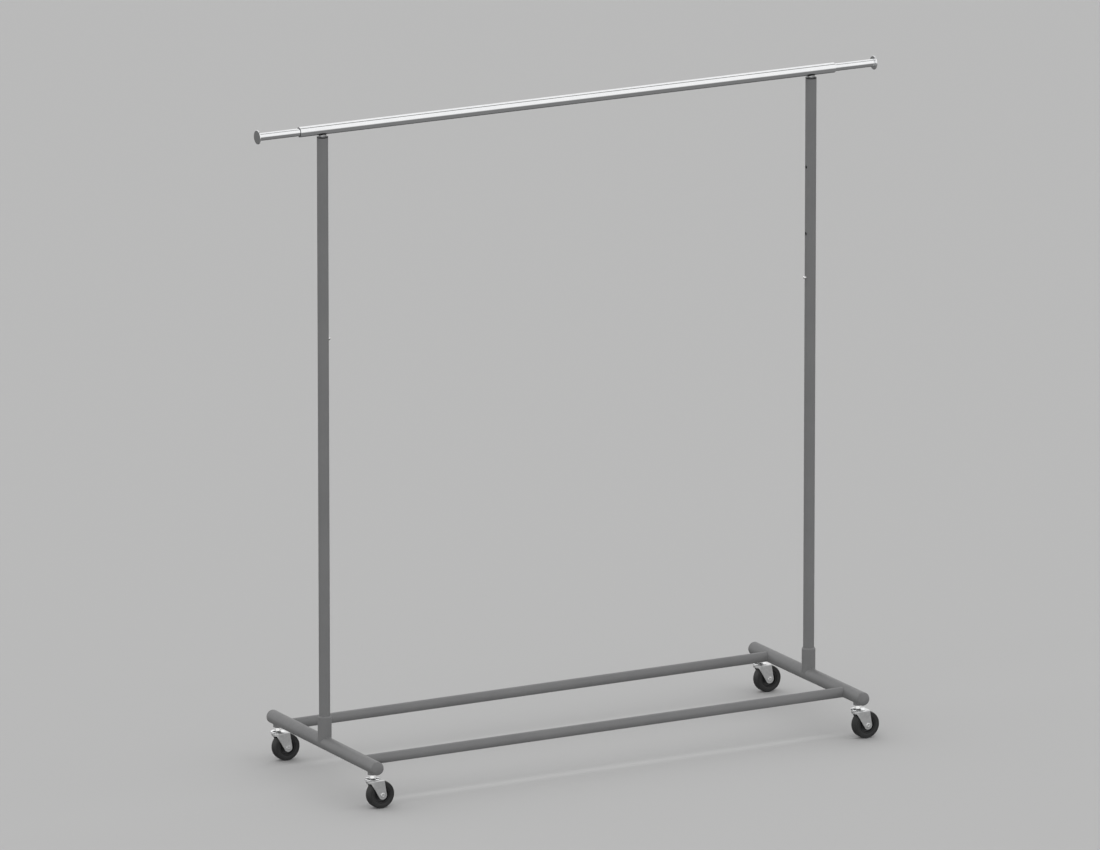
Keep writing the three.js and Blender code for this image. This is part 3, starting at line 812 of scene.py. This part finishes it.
def fork_sheet(half_width, axle_x, axle_z, back_low):
    """Pressed fork as a sheet: the top turns down all round into a wall, which is a short skirt in front
    and a leg that tapers to a rounded eye on each side. In millimetres about the swivel axis."""
    top = FORK_TOP_Z
    to_front = Vector((FORK_SKIRT_X - axle_x, FORK_SKIRT_Z - axle_z))
    lean = math.atan2(to_front.y, to_front.x) + math.acos(FORK_EYE_R / to_front.length)
    touch = Vector((axle_x + FORK_EYE_R * math.cos(lean), axle_z + FORK_EYE_R * math.sin(lean)))

    def lowest(x):
        if x <= touch.x:
            part = (x - FORK_SKIRT_X) / (touch.x - FORK_SKIRT_X)
            return FORK_SKIRT_Z + (touch.y - FORK_SKIRT_Z) * max(part, 0)
        return axle_z - math.sqrt(max(FORK_EYE_R**2 - (x - axle_x) ** 2, 0))

    def pulled(x, z):
        """Leans the back edge of the legs."""
        if x <= axle_x:
            return x
        edge = FORK_BACK_X + (back_low - FORK_BACK_X) * (top - z) / (top - axle_z)
        edge = edge if z > axle_z else back_low
        return axle_x + (x - axle_x) * (edge - axle_x) / (back_low - axle_x)

    # Columns from the back of one leg, round the front, to the back of the other.
    leg = [back_low - (back_low - axle_x) * (1 - math.cos(math.pi / 2 * i / 10)) for i in range(11)]
    leg += [axle_x * (1 - i / 24) for i in range(1, 24)]
    arc = [math.pi / 2 + math.pi * i / 24 for i in range(25)]
    columns = [(x, 0, Vector((0, 1))) for x in leg]
    columns += [(0, 0, Vector((math.cos(t), math.sin(t)))) for t in arc]
    columns += [(x, 0, Vector((0, -1))) for x in reversed(leg)]
    shape = bmesh.new()
    grid = []
    inset = half_width - FORK_BEND
    for x0, y0, way in columns:
        rail = []
        for share in (0, 0.5, 1):
            rail.append((inset * share, top))
        for i in range(1, 6):
            turn = math.pi / 2 * i / 5
            rail.append((inset + FORK_BEND * math.sin(turn), top - FORK_BEND * (1 - math.cos(turn))))
        foot_x = x0 + way.x * half_width
        end = lowest(foot_x)
        start = top - FORK_BEND
        for i in range(1, 19):
            z = start + (end - start) * i / 18
            rail.append((half_width, z))
        column = []
        for out, z in rail:
            x, y = x0 + way.x * out, y0 + way.y * out
            column.append(shape.verts.new(Vector((pulled(x, z), y, z)) * MM))
        grid.append(column)
    for a, b in zip(grid, grid[1:]):
        for k in range(len(a) - 1):
            shape.faces.new((a[k], b[k], b[k + 1], a[k + 1]))
    bmesh.ops.remove_doubles(shape, verts=shape.verts, dist=1e-6)
    bmesh.ops.dissolve_degenerate(shape, edges=shape.edges, dist=1e-6)
    bmesh.ops.recalc_face_normals(shape, faces=shape.faces)
    return shape


def caster_fork(node, at_xy, wheel_node):
    _, half = middle_and_half(node)
    wheel, _ = middle_and_half(wheel_node)
    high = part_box(node)[1]
    half_width = half.y
    top = FORK_TOP_Z
    axle_x = (wheel.x - at_xy[0]) / MM
    axle_z = wheel.z / MM
    back_low = (high.x - at_xy[0]) / MM
    sheet = fork_sheet(half_width, axle_x, axle_z, back_low)
    upward = sum(f.normal.z for f in sheet.faces if abs(f.calc_center_median().z - top * MM) < 1e-5)
    if upward < 0:
        bmesh.ops.reverse_faces(sheet, faces=sheet.faces)
    at = Matrix.Translation((*at_xy, 0))
    piece = finish_node(node, sheet, ZINC, at)
    piece.modifiers.clear()
    solid = piece.modifiers.new("sheet_metal", "SOLIDIFY")
    solid.thickness, solid.offset = FORK_THICK * MM, -1
    rim = piece.modifiers.new("rolled_edge", "BEVEL")
    rim.width, rim.segments, rim.limit_method, rim.angle_limit = 0.35 * MM, 3, "ANGLE", math.radians(50)
    even = piece.modifiers.new("even_normals", "WEIGHTED_NORMAL")
    even.keep_sharp = True
    race_top = high.z / MM
    corners = [
        (STEM_R + GAP, top - 0.5, 0.1),
        (RACE_R, top - 0.5, 0.1),
        (RACE_R, top, 0.8),
        (12.2, top + 0.8, 1.2),
        (8.5, race_top, 1),
        (STEM_R + GAP, race_top, 0.3),
    ]
    race = lathe(softened(corners))
    show(f"{node}_race", race, BRIGHT_ZINC, BODY_OF[node], at=at)


def caster_stem(node):
    """Threaded stem: hexagon with chamfered corners, a collar over the race and a riveted lower end."""
    centre, half = middle_and_half(node)
    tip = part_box(node)[1].z / MM
    flats = min(half.x, half.y) * 2
    head = hexagon(flats, HEX_BOTTOM, HEX_TOP, HEX_DRAFT)
    shank = [(0, tip, 0), (4.2, tip, 0.3)]
    for i in range(THREADS):
        z = tip - 1 - i * THREAD_PITCH
        shank += [(4.9, z, 0.1), (4.2, z - THREAD_PITCH / 2, 0.1)]
    shank += [
        (4.8, HEX_TOP - 0.5, 0),
        (4.8, RIVET_TOP, 0.1),
        (7.5, RIVET_TOP, 0.3),
        (7.5, RIVET_TOP - RIVET_THICK / 2, 0.8),
        (4.5, RIVET_TOP - RIVET_THICK, 0.8),
        (0, RIVET_TOP - RIVET_THICK, 0),
    ]
    body = lathe(softened(shank, 2), TURNED_SIDES)
    at = Matrix.Translation((centre.x, centre.y, 0))
    finish_node(node, joined(head, body), BRIGHT_ZINC, at, sharp=28)


def race_cup(node):
    """Pressed cup with a rolled brim, a sloping shoulder and a flat land under the hexagon."""
    centre, half = middle_and_half(node)
    low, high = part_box(node)
    top, bottom, radius, thick = high.z / MM, low.z / MM, half.x, CUP_THICK
    corners = [
        (STEM_R + GAP, top, 0.2),
        (10, top, 1.2),
        (14.4, bottom + 3.2, 1.5),
        (radius - 1.4, bottom + 2.7, 1),
        (radius, bottom + 1.6, 0.9),
        (radius, bottom, 0.4),
        (radius - thick, bottom, 0.4),
        (radius - thick, bottom + 1.2, 0.5),
        (radius - 2.4, bottom + 1.7, 0.5),
        (9.6, top - thick, 0.6),
        (STEM_R + GAP, top - thick, 0.2),
    ]
    at = Matrix.Translation((centre.x, centre.y, 0))
    finish_node(node, lathe(softened(corners), TUBE_SIDES), CHROME_SPUN, at)


def tyre(node):
    """Tyre with a crowned tread, a fine groove round each sidewall and a moulding line."""
    centre, half = middle_and_half(node)
    radius, width = half.z, half.y
    bore = 22
    side = [
        (bore, width - 1.5, 0.4),
        (bore + 3, width - 0.15, 1),
        (radius - 5.2, width, 0.3),
        (radius - 4.8, width - 0.55, 0.2),
        (radius - 4.2, width - 0.55, 0.2),
        (radius - 3.8, width, 0.3),
        (radius - 2.4, width, 1.6),
        (radius - 0.45, width - 3.4, 2.5),
        (radius - 0.06, 3, 2),
        (radius - 0.06, 0.35, 0),
        (radius, 0, 0),
    ]
    other = [(r, -y, rounding) for r, y, rounding in reversed(side[:-1])]
    shape = lathe(softened([*side, *other], 3), 128)
    finish_node(node, shape, RUBBER, Matrix.Translation(centre) @ towards("+Y"))


def hub(node):
    """Moulded hub: a boss on the axle, a dished web and a rim under the tyre."""
    centre, half = middle_and_half(node)
    rim, boss_half = half.z, half.y
    side = [
        (AXLE_R + GAP, boss_half, 0.3),
        (7.8, boss_half, 0.7),
        (8.8, 5.4, 1),
        (13.5, 4.6, 1),
        (rim - 4, 6.4, 1.5),
        (rim - 3, 10.5, 0.6),
        (rim, 10.5, 0.4),
    ]
    other = [(r, -y, rounding) for r, y, rounding in reversed(side)]
    shape = lathe(softened([*side, *other]), 96)
    finish_node(node, shape, BLACK_NYLON, Matrix.Translation(centre) @ towards("+Y"))


def axle(node, fork_node):
    """Riveted axle: each end is spread into a low dome with a dimple from the punch."""
    centre, half = middle_and_half(node)
    face = middle_and_half(fork_node)[1].y + GAP
    end = half.y
    side = [
        (0, end - 0.6, 0),
        (1.8, end - 0.6, 0.3),
        (2.6, end, 0.4),
        (half.z - 1.2, end - 0.1, 0.6),
        (half.z, face + 0.8, 0.5),
        (half.z, face, 0.1),
        (AXLE_R, face, 0.1),
    ]
    other = [(r, -y, rounding) for r, y, rounding in reversed(side)]
    shape = lathe(softened([*side, *other]), TURNED_SIDES)
    finish_node(node, shape, ZINC, Matrix.Translation(centre) @ towards("+Y"))


# ---- assembly ----

bar_centre, bar_half = middle_and_half("hang_bar")
BAR_Z, BAR_R = bar_centre.z, bar_half.z
hang_bar("hang_bar")
for row, _ in ROWS:
    base_bar(f"{row}_base_bar")

for side, sign in ENDS:
    inward = -sign
    foot(f"{side}_foot")
    upright_socket(f"{side}_upright_socket", f"{side}_foot")
    upright(f"{side}_upright", side, inward)
    upright_x = middle_and_half(f"{side}_foot")[0].x
    post_r = middle_and_half(f"{side}_post")[1].y
    bore = middle_and_half(f"{side}_upright")[1].y - UPRIGHT_WALL
    button_z = middle_and_half(f"{side}_snap_button")[0].z
    upright_collar(f"{side}_upright_collar", post_r, bore)
    post(f"{side}_post", BAR_R, BAR_Z, button_z)
    post_glide(f"{side}_post_glide", post_r, side, inward)
    snap_button(f"{side}_snap_button", upright_x, inward)
    button_spring(f"{side}_button_spring", upright_x, inward)
    extension_r = middle_and_half(f"{side}_extension")[1].z
    bar_bush(f"{side}_bar_bush", sign, BAR_Z, extension_r)
    extension(f"{side}_extension", sign, BAR_Z)
    end_stop(f"{side}_end_stop", sign, BAR_Z, extension_r)
    extension_guide(f"{side}_extension_guide", sign, BAR_Z, BAR_R, extension_r)
    for row, row_sign in ROWS:
        corner = f"{row}_{side}"
        foot_cap(f"{corner}_foot_cap", f"{side}_foot", row_sign)
        caster_boss(f"{corner}_caster_boss", f"{side}_foot")
        caster_stem(f"{corner}_caster_stem")
        race_cup(f"{corner}_race_cup")
        swivel = middle_and_half(f"{corner}_race_cup")[0]
        caster_fork(f"{corner}_fork", (swivel.x, swivel.y), f"{corner}_tyre")
        tyre(f"{corner}_tyre")
        hub(f"{corner}_hub")
        axle(f"{corner}_axle", f"{corner}_fork")


# ---- floor, light and camera ----

FLOOR_SIDE = 400
SKY = 0.98
BACKGROUND = 0.492
FLOOR_SHADE = 0.567
SEAM_LEAN, SEAM_SHADE = (0.09, 0.17), 0.06  # slopes off the overhead line between which the dark seam ends
HORIZON = -0.3, 0.12  # heights between which the lower half gives way to the tent
NEAR_SHADE, FAR_SHADE = 0.2, 0.045  # lower half, towards the camera and away from it
SIDE_GAIN = 1.7  # how much brighter it is at the camera's left


def floor():
    shape = bmesh.new()
    bmesh.ops.create_grid(shape, x_segments=1, y_segments=1, size=FLOOR_SIDE / 2)
    mesh = bpy.data.meshes.new("floor")
    shape.to_mesh(mesh)
    g = Graph("studio_floor")
    g.finish(
        Base_Color=(FLOOR_SHADE, FLOOR_SHADE, FLOOR_SHADE * 0.998, 1),
        Roughness=1.0,
        Specular_IOR_Level=0.0,
    )
    mesh.materials.append(g.material)
    made = bpy.data.objects.new("floor", mesh)
    SCENE.collection.objects.link(made)
    made.visible_glossy = False  # metal reflects the studio round it instead


def studio():
    """An even white tent with a thin dark seam overhead, over a darker lower half that polished metal
    reflects. The camera sees plain grey where there is no floor."""
    world = bpy.data.worlds.new("studio")
    SCENE.world = world
    world.use_nodes = True
    tree = world.node_tree
    tree.nodes.clear()

    def math_node(operation, *values):
        node = tree.nodes.new("ShaderNodeMath")
        node.operation = operation
        for socket, value in zip(node.inputs, values):
            if isinstance(value, bpy.types.NodeSocket):
                tree.links.new(value, socket)
            else:
                socket.default_value = value
        return node.outputs[0]

    def ramp(value, start, end, low, high):
        node = tree.nodes.new("ShaderNodeMapRange")
        node.interpolation_type = "SMOOTHSTEP"
        tree.links.new(value, node.inputs["Value"])
        for key, number in (("From Min", start), ("From Max", end), ("To Min", low), ("To Max", high)):
            if isinstance(number, bpy.types.NodeSocket):
                tree.links.new(number, node.inputs[key])
            else:
                node.inputs[key].default_value = number
        return node.outputs["Result"]

    way = tree.nodes.new("ShaderNodeTexCoord").outputs["Generated"]
    split = tree.nodes.new("ShaderNodeSeparateXYZ")
    tree.links.new(way, split.inputs[0])
    x, y, z = split.outputs
    lean = math_node("DIVIDE", math_node("ABSOLUTE", y), math_node("MAXIMUM", z, 0.001))
    seam = ramp(lean, *SEAM_LEAN, SEAM_SHADE, 1)
    upper = math_node("MULTIPLY", seam, SKY)
    beside_camera = ramp(x, -0.5, 0.4, SIDE_GAIN, 1)
    lower = math_node("MULTIPLY", ramp(y, -0.1, 0.75, NEAR_SHADE, FAR_SHADE), beside_camera)
    light = ramp(z, *HORIZON, lower, upper)
    seen = tree.nodes.new("ShaderNodeLightPath").outputs["Is Camera Ray"]
    shade = ramp(seen, 0, 1, light, BACKGROUND)
    glow = tree.nodes.new("ShaderNodeBackground")
    glow.inputs["Color"].default_value = (1, 1, 1, 1)
    tree.links.new(shade, glow.inputs["Strength"])
    output = tree.nodes.new("ShaderNodeOutputWorld")
    tree.links.new(glow.outputs[0], output.inputs[0])


LENS = 499.75
SENSOR = 36
YAW, PITCH = math.radians(28.43), math.radians(14.15)
AIM = Vector((0, 0, 0.1085))  # middle of the base
SHIFT_RIGHT, SHIFT_UP, DISTANCE = -0.0465, 0.7067, 38.175


def camera():
    data = bpy.data.cameras.new("camera")
    data.lens, data.sensor_width = LENS, SENSOR
    data.clip_start, data.clip_end = 1, 500
    made = bpy.data.objects.new("camera", data)
    SCENE.collection.objects.link(made)
    ahead = Vector((
        math.sin(YAW) * math.cos(PITCH),
        math.cos(YAW) * math.cos(PITCH),
        -math.sin(PITCH),
    ))
    right = Vector((math.cos(YAW), -math.sin(YAW), 0))
    up = right.cross(ahead)
    made.location = AIM + right * SHIFT_RIGHT + up * SHIFT_UP - ahead * DISTANCE
    made.rotation_mode = "QUATERNION"
    made.rotation_quaternion = Matrix((right, up, -ahead)).transposed().to_quaternion()
    SCENE.camera = made


floor()
studio()
camera()
SCENE.view_settings.view_transform = "Standard"
